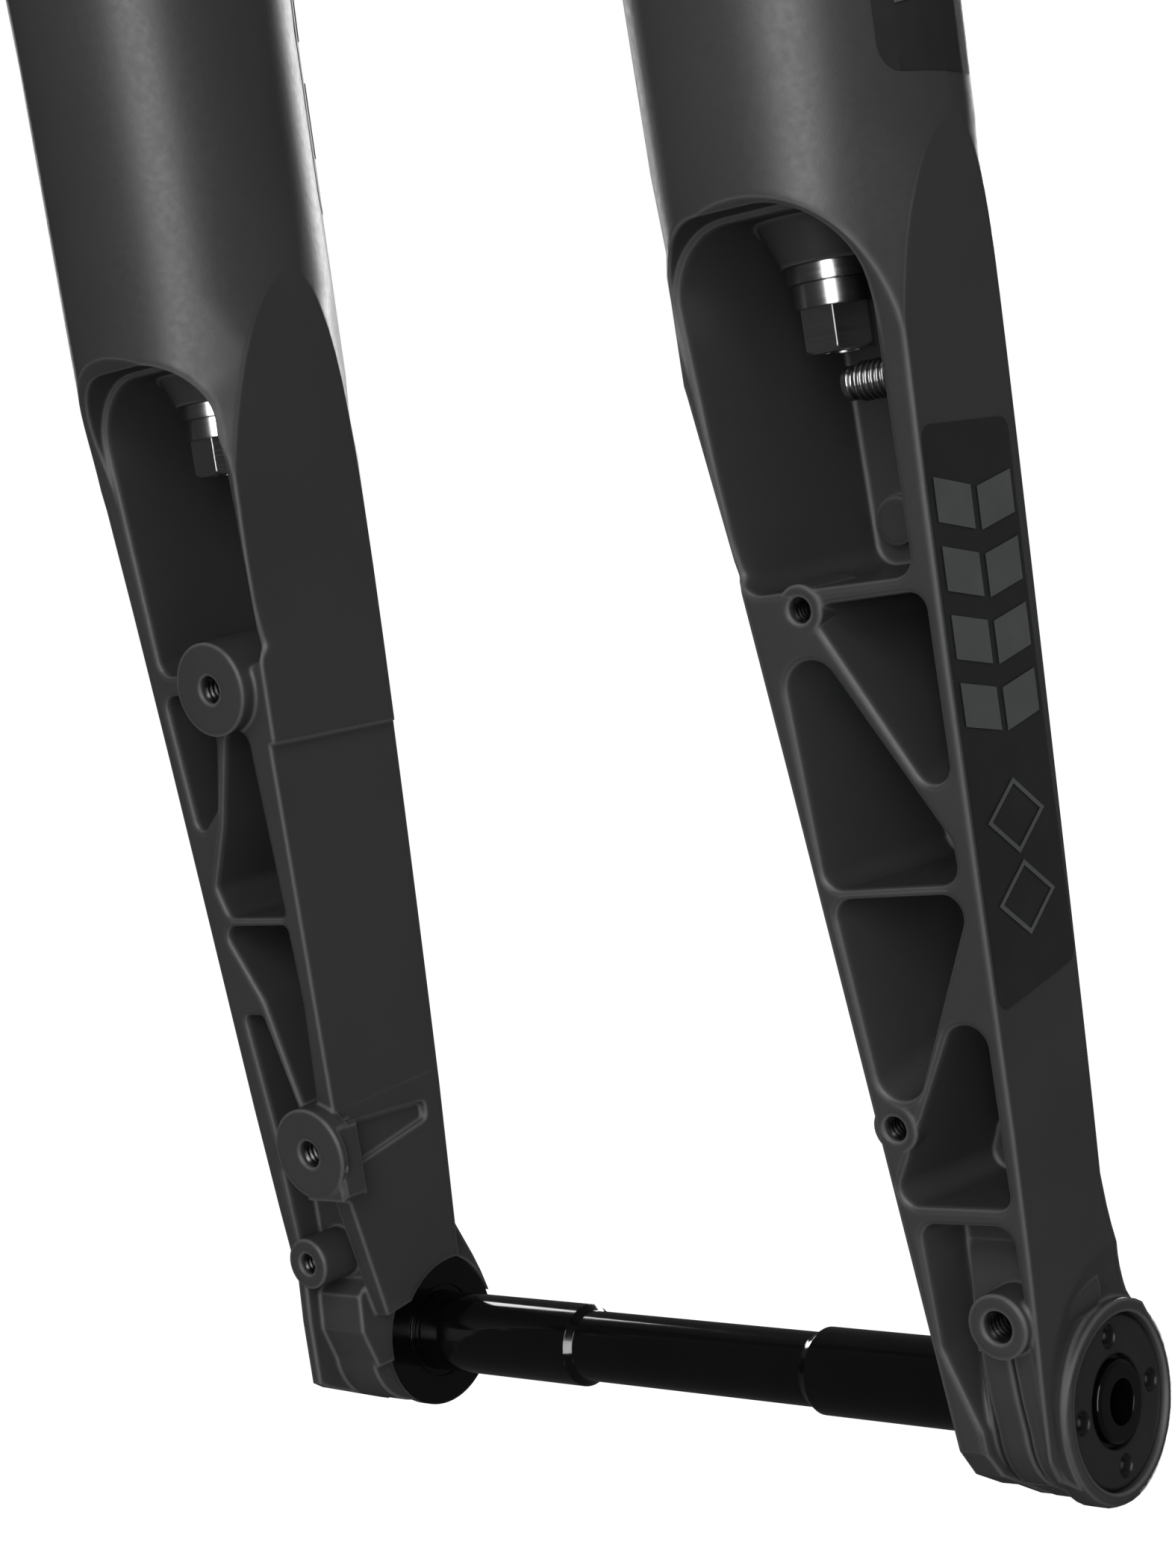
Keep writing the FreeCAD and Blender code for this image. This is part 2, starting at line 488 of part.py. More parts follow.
def left_leg():
    """Left leg, drawn on the right-hand side and mirrored by the caller."""
    blank = leg_blank()
    (low_x, low_z), (high_x, high_z) = STEP_LINE
    wedge = [Vec(30, -60, low_z), Vec(30, -60, high_z), Vec(high_x, -60, high_z), Vec(low_x, -60, low_z)]
    leg = blank.cut(extruded(wedge, Vec(0, 120, 0)))
    leg = leg.cut(pocket(LEFT_POCKETS["tool_bay"], 1.0))
    for name, corners in LEFT_POCKETS.items():
        if name != "tool_bay":
            leg = leg.cut(pocket(corners, NARROW_DRAFT))
    leg = leg.cut(pocket(DROPOUT_POCKETS["left"], NARROW_DRAFT, DROPOUT_FLOOR_Y - 2.5))
    below = Part.makeBox(80, 80, 40, Vec(10, -60, -40 + LEFT_TOE_Z))
    tip = extruded([Vec(10, y, z) for y, z in INNER_WALL_TRIM], Vec(HUB_WIDTH / 2 - 10, 0, 0))
    leg = leg.cut(below).cut(tip)
    leg = leg.fuse(tool_bay_details()).fuse(left_dropout())
    out = face_normal()
    for point, x_min in zip(brake_points(), (0.0, BLOCK_X + 0.1)):
        boss = cylinder(BRAKE_BOSS_R, point - out * 24, point)
        disc = cylinder(BRAKE_BOSS_R, point - out * BRAKE_DISC_DEPTH, point)
        neck = cylinder(BRAKE_BOSS_R, point - out * (BRAKE_PROUD + 0.4), point)
        neck = neck.common(Part.makeBox(90, 60, 200, Vec(x_min, -60, 0)))
        leg = leg.fuse([disc.fuse(neck).removeSplitter(), boss.common(blank)])
    block = Part.makeBox(8.0, BLOCK_Y[1] - BLOCK_Y[0], BLOCK_Z[1] - BLOCK_Z[0],
                         Vec(BLOCK_X, BLOCK_Y[0], BLOCK_Z[0]))
    leg = leg.fuse(block.makeChamfer(0.6, [e for e in block.Edges if e.BoundBox.XMax < BLOCK_X + 0.1]))
    groove_rear = rounded_wire(GROOVE, lambda p: Vec(GROOVE_X[0], p.x, p.y))
    groove_deep = rounded_wire(moved_out(GROOVE, -0.9), lambda p: Vec(GROOVE_X[1], p.x, p.y))
    leg = leg.cut(Part.makeLoft([groove_rear, groove_deep], True, True))
    leg = leg.fuse(cylinder(GUIDE_BOSS_R, (GUIDE_X, GUIDE_FACE_Y, GUIDE_Z), (GUIDE_X, 2.0, GUIDE_Z)))
    for point in brake_points():
        leg = leg.cut(cylinder(M5_HOLE_R, point + out, point - out * BRAKE_HOLE_DEPTH))
    leg = leg.cut(cylinder(M4_HOLE_R, (GUIDE_X, GUIDE_FACE_Y - 1, GUIDE_Z),
                           (GUIDE_X, GUIDE_FACE_Y + 9, GUIDE_Z)))
    leg = leg.cut(hub_recess(BARREL_INNER_X, FLANGE_R + 0.2))
    leg = leg.cut(cylinder(FLANGE_R + 0.1, (50, 0, 0), (57, 0, 0)))
    leg = leg.cut(cylinder(INSERT_BODY_R, (50, 0, 0), (70, 0, 0)))
    return one_solid(leg.cut(bore_stack()))


def arch():
    """Bridge in front of the crown that ties the two lower legs together over the tyre."""
    under = [(39.5, 262.0), (37.6, 296.0), (36.0, 318.0), (33.5, 338.0), (27.0, 354.5), (14.0, 362.0),
             (0.0, 364.0)]
    top = [(0.0, 377.5), (16.0, 375.0), (29.0, 366.5), (41.0, 349.0), (52.0, 339.0), (60.0, 322.0),
           (64.0, 296.0), (66.0, 262.0)]

    def at(points):
        return [Vec(x, ARCH_BACK_Y, z) for x, z in points]

    under_full = at(under) + at([(-x, z) for x, z in reversed(under[:-1])])
    top_full = at([(-x, z) for x, z in reversed(top)]) + at(top[1:])
    edges = [smooth_edge(under_full), Part.makeLine(under_full[-1], top_full[0]), smooth_edge(top_full),
             Part.makeLine(top_full[-1], under_full[0])]
    bridge = Part.Face(Part.Wire(edges)).extrude(Vec(0, ARCH_DEPTH, 0))
    front_y = ARCH_BACK_Y + ARCH_DEPTH
    front = [e for e in bridge.Edges if e.BoundBox.YMin > front_y - 0.1 and e.Length > 150]
    bridge = bridge.makeFillet(4.0, front)
    side = [(ARCH_BACK_Y, 255.0), (4.0, 262.5), (front_y - 2.0, 306.0), (front_y, 326.0),
            (front_y, 400.0),
            (ARCH_BACK_Y, 400.0)]
    return bridge.common(extruded([Vec(-90, y, z) for y, z in side], Vec(180, 0, 0)))


def lower_casting():
    """Both lower legs and the arch: one casting."""
    right = right_leg()
    left = mirrored(left_leg())
    bridge = arch()
    for sign in (1, -1):
        bridge = bridge.cut(cylinder(SEAL_R + 0.1, (sign * LEG_X, LEG_Y, 250),
                                     (sign * LEG_X, LEG_Y, 400)))
        bridge = bridge.cut(cylinder(22.8, (sign * LEG_X, LEG_Y, LEG_TOP_Z), (sign * LEG_X, LEG_Y, 400)))
    return one_solid(right.fuse(bridge).fuse(left))


def on_leg(profile, side):
    """Part turned about a leg's axis."""
    return turned(profile, (SIDES[side] * LEG_X, LEG_Y, 0), (0, 0, 1))


def sleeve(outer_r, inner_r, z0, z1, side):
    return on_leg([(z0, inner_r), (z0, outer_r), (z1, outer_r), (z1, inner_r)], side)


def stanchion(side):
    """Thin tube with a short chamfer inside its lower end."""
    profile = [(STANCHION_BOTTOM_Z, STANCHION_BORE_R + 0.5), (STANCHION_BOTTOM_Z, STANCHION_R - 0.4),
               (STANCHION_BOTTOM_Z + 0.4, STANCHION_R), (STANCHION_TOP_Z, STANCHION_R),
               (STANCHION_TOP_Z, STANCHION_BORE_R), (STANCHION_BOTTOM_Z + 0.5, STANCHION_BORE_R)]
    return on_leg(profile, side)


def crown():
    """Forged crown: two sockets for the stanchions and a boss for the steerer, webbed together."""
    outline = [(0, -25.0, 40.0), (36.0, -2.0, 8.0), (56.0, 6.0, 12.0), (76.5, -10.0, 14.0),
               (72.0, -33.0, 12.0),
               (40.0, -44.0, 30.0), (27.0, -70.0, 16.0)]
    full = outline + [(-x, y, r) for x, y, r in reversed(outline[1:])]
    web = Part.Face(rounded_wire(full, lambda p: Vec(p.x, p.y, CROWN_BOTTOM_Z + 5)))
    web = web.extrude(Vec(0, 0, 23))
    shape = web
    for sign in (1, -1):
        shape = shape.fuse(turned([(CROWN_BOTTOM_Z, 0), (CROWN_BOTTOM_Z, 19.3),
                                   (CROWN_BOTTOM_Z + 1.2, 20.5),
                                   (STANCHION_TOP_Z - 1.5, 20.5), (STANCHION_TOP_Z, 19.0),
                                   (STANCHION_TOP_Z, 0)],
                                  (sign * LEG_X, LEG_Y, 0), (0, 0, 1)))
    shape = shape.fuse(turned([(CROWN_BOTTOM_Z + 2, 0), (CROWN_BOTTOM_Z + 2, 24.0),
                               (CROWN_BOTTOM_Z + 4, 26.0),
                               (CROWN_SEAT_Z - 1, 26.6), (CROWN_SEAT_Z, 26.0), (CROWN_SEAT_Z, 0)],
                              (0, STEERER_Y, 0), (0, 0, 1)))
    for sign in (1, -1):
        shape = shape.cut(cylinder(STANCHION_R, (sign * LEG_X, LEG_Y, 400), (sign * LEG_X, LEG_Y, 450)))
    hollow = turned([(400, 0), (400, STEERER_BORE_R), (450, STEERER_BORE_R), (450, 0)],
                    (0, STEERER_Y, 0), (0, 0, 1))
    pocket_below = cylinder(STEERER_FOOT_R, (0, STEERER_Y, CROWN_BOTTOM_Z + 6), (0, STEERER_Y, 450))
    return one_solid(shape.cut(hollow).cut(pocket_below))


def steerer():
    """Tapered steerer, pressed into the crown."""
    bottom = CROWN_BOTTOM_Z + 6
    top = CROWN_SEAT_Z + STEERER_LENGTH
    profile = [(bottom, STEERER_BORE_R), (bottom, STEERER_FOOT_R), (CROWN_SEAT_Z, STEERER_FOOT_R),
               (CROWN_SEAT_Z, STEERER_SEAT_R), (CROWN_SEAT_Z + 10, STEERER_SEAT_R),
               (CROWN_SEAT_Z + 45, STEERER_R),
               (top - 0.5, STEERER_R), (top, STEERER_R - 0.5), (top, STEERER_BORE_R)]
    return turned(profile, (0, STEERER_Y, 0), (0, 0, 1))


def crown_race():
    profile = [(CROWN_SEAT_Z, STEERER_SEAT_R), (CROWN_SEAT_Z, 25.8), (CROWN_SEAT_Z + 1.8, 25.8),
               (CROWN_SEAT_Z + 4.6, 22.6), (CROWN_SEAT_Z + 4.6, STEERER_SEAT_R)]
    return turned(profile, (0, STEERER_Y, 0), (0, 0, 1))


def wiper_seal(side):
    """Dust seal: a body pressed in the housing, a wide brim and two lips that just clear the stanchion."""
    inner = STANCHION_R + RUN_CLEAR
    profile = [(341.2, 17.2), (341.2, SEAL_R), (345.0, SEAL_R), (345.0, 21.9), (346.4, 21.9),
               (349.0, 18.6),
               (352.0, 17.3), (352.0, inner), (350.6, inner), (349.4, 17.2), (344.6, 17.2),
               (343.6, inner),
               (342.6, inner)]
    return on_leg(profile, side).cut(garter(side, SPRING_WIRE_R + 0.02))


def garter(side, wire_r):
    """Round wire garter spring in the seal's outer groove."""
    return Part.makeTorus(18.35, wire_r, Vec(SIDES[side] * LEG_X, LEG_Y, 350.2), Vec(0, 0, 1))


def foot_nut(side):
    """Shaft nut under the leg: hexagon, neck, and a stem that threads up into the shaft."""
    nut = extruded(hexagon(FOOT_NUT_FLATS, SIDES[side] * LEG_X, LEG_Y, 134.5), Vec(0, 0, 5.6))
    crowned = on_leg([(134.5, 0), (134.5, 4.1), (135.2, 4.75), (140.2, 4.75), (140.2, 0)], side)
    nut = nut.common(crowned).fuse(sleeve(4.75, 0.5, 140.0, 143.0, side))
    nut = nut.fuse(on_leg([(140.0, 0), (140.0, 4.0), (143.0, 4.0), (143.0, STEM_R), (175.0, STEM_R),
                           (175.0, 0)], side))
    return one_solid(nut.cut(on_leg([(134, 0), (134, 2.55), (138.2, 2.35), (138.2, 0)], side)))


def crush_washer(side):
    return sleeve(5.3, STEM_R + RUN_CLEAR, 143.0, 145.2, side)


def shaft(side, radius, top_z):
    """Hollow shaft standing on the leg's floor, its lower bore threaded for the foot nut."""
    profile = [(FLOOR_TOP_Z, STEM_R + RUN_CLEAR), (FLOOR_TOP_Z, radius), (top_z, radius), (top_z, 2.0),
               (176.0, 2.0), (176.0, STEM_R + RUN_CLEAR)]
    return on_leg(profile, side)


def grooved_piston(side, outer_r, bore_r, z0, z1):
    """Piston with a square groove for its seal."""
    mid = (z0 + z1) / 2
    profile = [(z0, bore_r), (z0, outer_r), (mid - 1.5, outer_r), (mid - 1.5, outer_r - 2.2),
               (mid + 1.5, outer_r - 2.2), (mid + 1.5, outer_r), (z1, outer_r), (z1, bore_r)]
    return on_leg(profile, side)


def thru_axle():
    """One-piece axle: threaded left end, slim middle and thick sleeve with the hex socket on the right."""
    profile = [(-64.0, 4.0), (-64.0, AXLE_R - 0.6), (-63.4, AXLE_R), (-24.4, AXLE_R),
               (-23.4, AXLE_WAIST_R),
               (18.0, AXLE_WAIST_R), (19.6, AXLE_R), (63.6, AXLE_R), (63.6, 5.3), (64.8, 5.3),
               (65.2, 4.9),
               (65.2, 2.95), (60.0, 2.95), (60.0, 2.2), (52.0, 2.2), (52.0, 3.4), (-60.0, 3.4),
               (-60.0, 4.0)]
    axle = turned(profile, (0, 0, 0), (1, 0, 0))
    corner_r = AXLE_HEX_FLATS / 2 / math.cos(math.pi / 6)
    corners = [Vec(53.5, corner_r * math.cos(math.radians(60 * i)),
                   corner_r * math.sin(math.radians(60 * i)))
               for i in range(6)]
    return one_solid(axle.cut(extruded(corners, Vec(7.0, 0, 0))))


def axle_insert():
    """Threaded flanged insert in the left dropout; its flange is the left hub seat."""
    profile = [(-55.0, AXLE_R + RUN_CLEAR), (-55.0, 6.7), (-55.35, 6.7), (-55.35, 7.1), (-55.0, 7.1),
               (-55.0, FLANGE_R - 0.4),
               (-55.3, FLANGE_R), (-57.0, FLANGE_R), (-57.0, INSERT_BODY_R), (-64.2, INSERT_BODY_R),
               (-64.2, AXLE_R + RUN_CLEAR)]
    return turned(profile, (0, 0, 0), (1, 0, 0))


def axle_collar():
    """Collar in the right dropout that guides the axle; four pin holes take a spanner."""
    profile = [(55.0, AXLE_R + RUN_CLEAR), (55.0, COLLAR_BODY_R), (COLLAR_SEAT_X, COLLAR_BODY_R),
               (COLLAR_SEAT_X, COLLAR_R), (COLLAR_FACE_X - 0.5, COLLAR_R),
               (COLLAR_FACE_X, COLLAR_R - 0.5),
               (COLLAR_FACE_X, AXLE_R + RUN_CLEAR)]
    collar = turned(profile, (0, 0, 0), (1, 0, 0))
    for i in range(4):
        y = COLLAR_PIN_CIRCLE_R * math.cos(math.radians(90 * i))
        z = COLLAR_PIN_CIRCLE_R * math.sin(math.radians(90 * i))
        collar = collar.cut(cylinder(COLLAR_PIN_R, (COLLAR_FACE_X - 1.6, y, z),
                                     (COLLAR_FACE_X + 1, y, z)))
    return collar


def socket_screw(head_r, head_h, shank_r, length, hex_flats, place, direction):
    """Cylindrical-head screw with a hex socket; place is the underside of the head."""
    along = Vec(*direction)
    profile = [(-head_h, 0), (-head_h, head_r - 0.4), (-head_h + 0.4, head_r), (0, head_r), (0, shank_r),
               (length - 0.5, shank_r), (length, shank_r - 0.5), (length, 0)]
    screw = turned(profile, place, direction)
    corner_r = hex_flats / 2 / math.cos(math.pi / 6)
    side = Vec(0, 0, 1)
    other = along.cross(side)
    start = Vec(*place) - along * (head_h + 1)
    corners = [start + side * (corner_r * math.cos(math.radians(60 * i)))
               + other * (corner_r * math.sin(math.radians(60 * i))) for i in range(6)]
    return screw.cut(extruded(corners, along * (1 + head_h * 0.65)))


def pinch_bolt():
    """Headless clamp screw, driven from the front."""
    return socket_screw(PINCH_SHANK_R, 4.2, PINCH_SHANK_R - 0.01, PINCH_SEAT_Y - PINCH_TIP_Y - 0.5, 2.5,
                        (PINCH_X, PINCH_SEAT_Y, PINCH_Z), (0, -1, 0))


def bay_stud():
    """Stud screwed into the outer wall of the right tool bay: thread crests, a neck and a dog point."""
    profile = [(STUD_END_X - 0.1, 0.0), (STUD_END_X - 0.1, STUD_R), (66.8, STUD_R)]
    x = 66.8
    while x > 60.2:
        profile += [(x - 0.1, STUD_R - 0.42), (x - 0.3, STUD_R - 0.42), (x - 0.6, STUD_R),
                    (x - 0.8, STUD_R)]
        x -= STUD_PITCH
    profile += [(x, STUD_R - 0.7), (58.8, STUD_R - 0.7), (58.4, STUD_R - 0.3), (57.6, STUD_R - 0.3),
                (57.2, STUD_R - 0.8), (57.2, 0.0)]
    return turned(profile, (0, STUD_Y, STUD_Z), (1, 0, 0))


def hex_cap(side, hex_flats):
    """Top cap: a flange, a shallow turned hex and a plug that threads into the stanchion."""
    top = STANCHION_TOP_Z
    profile = [(top - 15, 6.0), (top - 15, STANCHION_BORE_R), (top, STANCHION_BORE_R), (top, 17.6),
               (top + 1.6, 17.6), (top + 2.4, 16.8), (top + 2.4, 6.0)]
    cap = on_leg(profile, side)
    corners = hexagon(hex_flats, SIDES[side] * LEG_X, LEG_Y, top + 2.0)
    cap = cap.fuse(extruded(corners, Vec(0, 0, 3.4)))
    return one_solid(cap.cut(sleeve(6.0, 0.0, top, top + 9, side)))


def air_valve():
    """Valve stem standing in the air cap."""
    top = STANCHION_TOP_Z
    return on_leg([(top - 15, 1.4), (top - 15, 6.0), (top + 5.4, 6.0), (top + 5.4, 3.85),
                   (top + 12, 3.85),
                   (top + 12, 1.4)], "left")


def valve_core():
    top = STANCHION_TOP_Z
    return on_leg([(top - 8, 0), (top - 8, 1.35), (top + 11.4, 1.35), (top + 11.4, 0.6),
                   (top + 12.6, 0.6),
                   (top + 12.6, 0)], "left")


def valve_cap():
    """Cap over the valve with finger flutes round its rim."""
    top = STANCHION_TOP_Z
    cap = on_leg([(top + 5.8, 3.9), (top + 5.8, 7.6), (top + 14.6, 7.2), (top + 16, 5.8), (top + 16, 0),
                  (top + 13.4, 0), (top + 13.4, 3.9)], "left")
    for i in range(12):
        angle = math.radians(30 * i)
        x = -LEG_X + 8.0 * math.cos(angle)
        y = LEG_Y + 8.0 * math.sin(angle)
        cap = cap.cut(cylinder(0.9, (x, y, top + 7), (x, y, top + 17)))
    return one_solid(cap)


def compression_lever():
    """Ring with a short finger lever; it turns on the damper cap's spindle."""
    z0 = STANCHION_TOP_Z + 5.7
    disc = sleeve(13.4, SPINDLE_R + RUN_CLEAR, z0, z0 + 4.0, "right")
    corners = [(LEG_X - 13.0, LEG_Y - 4.0, 0.6), (LEG_X - 23.5, LEG_Y - 9.5, 2.2),
               (LEG_X - 26.0, LEG_Y - 4.0, 2.2),
               (LEG_X - 22.5, LEG_Y + 1.5, 2.2), (LEG_X - 11.0, LEG_Y + 8.0, 0.6), (LEG_X, LEG_Y, 0.6)]
    arm = Part.Face(rounded_wire(corners, lambda p: Vec(p.x, p.y, z0))).extrude(Vec(0, 0, 4.0))
    arm = arm.cut(sleeve(12.0, 0.0, z0 - 1, z0 + 6, "right"))
    return one_solid(disc.fuse(arm))


def lowspeed_knob():
    """Small fluted knob above the lever, on the same spindle."""
    z0 = STANCHION_TOP_Z + 9.9
    knob = on_leg([(z0, SPINDLE_R + RUN_CLEAR), (z0, 8.6), (z0 + 5, 8.2), (z0 + 6, 7.2), (z0 + 6, 0),
                   (z0 + 4.4, 0),
                   (z0 + 4.4, SPINDLE_R + RUN_CLEAR)], "right")
    for i in range(16):
        angle = math.radians(22.5 * i)
        x = LEG_X + 8.9 * math.cos(angle)
        y = LEG_Y + 8.9 * math.sin(angle)
        knob = knob.cut(cylinder(0.8, (x, y, z0 - 1), (x, y, z0 + 7)))
    return one_solid(knob)


def damper_spindle():
    """Fixed spindle in the damper cap that carries the lever and the knob."""
    top = STANCHION_TOP_Z
    return on_leg([(top - 15, 0), (top - 15, 6.0), (top + 5.4, 6.0), (top + 5.4, SPINDLE_R),
                   (top + 14.0, SPINDLE_R),
                   (top + 14.0, 0)], "right")


def damper_tube():
    """Cartridge tube hung under the damper cap, closed by the spindle's plug at the top."""
    return sleeve(12.9, 11.5, 242.0, STANCHION_TOP_Z - 15, "right")


def seal_head(side, shaft_r, shoulder_r):
    """Bulkhead in the stanchion's lower end that the shaft slides through."""
    profile = [(229.0, shaft_r + RUN_CLEAR), (229.0, STANCHION_BORE_R), (240.0, STANCHION_BORE_R),
               (240.0, shoulder_r), (244.0, shoulder_r), (244.0, shaft_r + RUN_CLEAR)]
    return on_leg(profile, side)


def retaining_ring(side):
    """Open circlip below a seal head."""
    clip = sleeve(STANCHION_BORE_R, 11.4, 227.4, 229.0, side)
    gap = Part.makeBox(20, 7, 5, Vec(SIDES[side] * LEG_X, LEG_Y - 3.5, 226))
    return clip.cut(gap)


def volume_spacer(index):
    """Ring-shaped plug under the air cap that makes the spring firmer."""
    z0 = STANCHION_TOP_Z - 15 - 9 * (index + 1)
    return sleeve(12.6, 3.0, z0, z0 + 9, "left")


def rebound_screw():
    """Damping adjuster in the end of the right foot nut, with a hex socket."""
    body = on_leg([(135.2, 0), (135.2, REBOUND_R), (149.0, REBOUND_R), (149.0, 0)], "right")
    return body.cut(extruded(hexagon(REBOUND_HEX_FLATS, LEG_X, LEG_Y, 135.0), Vec(0, 0, 2.4)))


def both(make, *dims):
    return [make(side, *dims) for side in SIDES]


def parts_list():
    """Every node of the fork and its shape."""
    nodes = {
        "lower_casting": lower_casting(),
        "foot_nut_air": foot_nut("left"),
        "foot_nut_damper": foot_nut("right").cut(sleeve(REBOUND_R + RUN_CLEAR, 0.0, 134, 150, "right")),
        "rebound_screw": rebound_screw(),
        "axle_insert": axle_insert(),
        "axle_collar": axle_collar(),
        "pinch_bolt": pinch_bolt(),
        "bay_stud": bay_stud(),
        "thru_axle": thru_axle(),
        "air_shaft": shaft("left", 5.0, 264.0),
        "air_piston": grooved_piston("left", STANCHION_BORE_R - RUN_CLEAR, 5.0, 252.0, 264.0),
        "damper_shaft": shaft("right", 5.0, 262.0),
        "damper_piston": grooved_piston("right", 11.5 - RUN_CLEAR, 5.0, 252.0, 262.0),
        "travel_o_ring": Part.makeTorus(STANCHION_R + 1.25, 1.2, Vec(LEG_X, LEG_Y, 353.2), Vec(0, 0, 1)),
        "crown": crown(),
        "steerer": steerer(),
        "crown_race": crown_race(),
        "air_top_cap": hex_cap("left", 26.0),
        "air_valve": air_valve(),
        "valve_core": valve_core(),
        "valve_cap": valve_cap(),
        "damper_top_cap": hex_cap("right", 26.0),
        "damper_spindle": damper_spindle(),
        "compression_lever": compression_lever(),
        "lowspeed_knob": lowspeed_knob(),
        "damper_tube": damper_tube(),
        "compression_valve": grooved_piston("right", 11.5, 3.0, 372.0, 384.0),
        "air_seal_head": seal_head("left", 5.0, 9.0),
        "damper_seal_head": seal_head("right", 5.0, 11.5),
        "top_out_bumper": sleeve(9.5, 5.6, 244.0, 251.5, "left"),
        "volume_spacers": Part.makeCompound([volume_spacer(i) for i in range(2)]),
        "crush_washers": Part.makeCompound(both(crush_washer)),
        "retaining_rings": Part.makeCompound(both(retaining_ring)),
        "foot_bumpers": Part.makeCompound([sleeve(11.0, 5.6, 160.0, 168.0, side) for side in SIDES]),
        "seal_springs": Part.makeCompound(both(garter, SPRING_WIRE_R)),
    }
    for side in SIDES:
        nodes["stanchion_" + side] = stanchion(side)
        nodes["wiper_seal_" + side] = wiper_seal(side)
        nodes["foam_ring_" + side] = sleeve(SEAL_R, 16.4, 336.2, 341.2, side)
        nodes["upper_bushing_" + side] = sleeve(LEG_BORE_R, STANCHION_R + RUN_CLEAR, 318.0, 334.0, side)
        nodes["lower_bushing_" + side] = sleeve(LEG_BORE_R, STANCHION_R + RUN_CLEAR, 232.0, 250.0, side)
    return nodes


for name, shape in parts_list().items():
    shape.exportStep("parts/" + name + ".step")
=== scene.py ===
import json
import math

import bmesh
import bpy
from mathutils import Matrix, Vector


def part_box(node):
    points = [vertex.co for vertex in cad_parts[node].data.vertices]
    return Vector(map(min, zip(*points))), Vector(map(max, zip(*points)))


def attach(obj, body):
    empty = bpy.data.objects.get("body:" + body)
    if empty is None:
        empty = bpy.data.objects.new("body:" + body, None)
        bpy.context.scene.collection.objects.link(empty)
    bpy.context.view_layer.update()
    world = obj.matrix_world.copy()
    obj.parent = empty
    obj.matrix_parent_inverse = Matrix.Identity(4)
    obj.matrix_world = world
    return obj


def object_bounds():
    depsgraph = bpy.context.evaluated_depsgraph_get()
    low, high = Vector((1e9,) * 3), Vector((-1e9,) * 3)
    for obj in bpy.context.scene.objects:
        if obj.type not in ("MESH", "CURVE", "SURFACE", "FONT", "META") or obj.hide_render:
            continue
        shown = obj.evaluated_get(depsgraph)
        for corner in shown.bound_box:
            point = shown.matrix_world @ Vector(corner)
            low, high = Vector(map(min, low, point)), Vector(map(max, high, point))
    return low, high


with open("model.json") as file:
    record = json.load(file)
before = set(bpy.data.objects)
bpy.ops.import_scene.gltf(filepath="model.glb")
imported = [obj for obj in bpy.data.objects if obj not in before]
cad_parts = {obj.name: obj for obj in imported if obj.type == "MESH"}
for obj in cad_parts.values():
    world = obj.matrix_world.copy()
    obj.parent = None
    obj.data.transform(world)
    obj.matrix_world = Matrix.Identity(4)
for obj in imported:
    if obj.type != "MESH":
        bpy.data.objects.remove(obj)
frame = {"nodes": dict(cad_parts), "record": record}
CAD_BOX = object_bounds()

# Sizes on the object are in millimetres, and MM turns them into metres. Everything else is in metres.
MM = 0.001
NODES = frame["nodes"]
MOUNTS = {mount["name"]: mount for mount in frame["record"]["mounts"]}
CASTING = NODES["lower_casting"]
LEG_LOW, LEG_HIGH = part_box("stanchion_right")
LEG_X = (LEG_LOW[0] + LEG_HIGH[0]) / 2 / MM
LEG_Y = (LEG_LOW[1] + LEG_HIGH[1]) / 2 / MM


# ---------------------------------------------------------------- materials
BEVEL_SAMPLES = 6
CAST_EDGE = 0.0014       # radius that the casting's edges are shaded as
PAINTED_HIGHLIGHT_REACH = 0.0010       # how far the painted edge highlight reaches from an edge
FINE_EDGE = 0.00025      # broken edge of a turned part


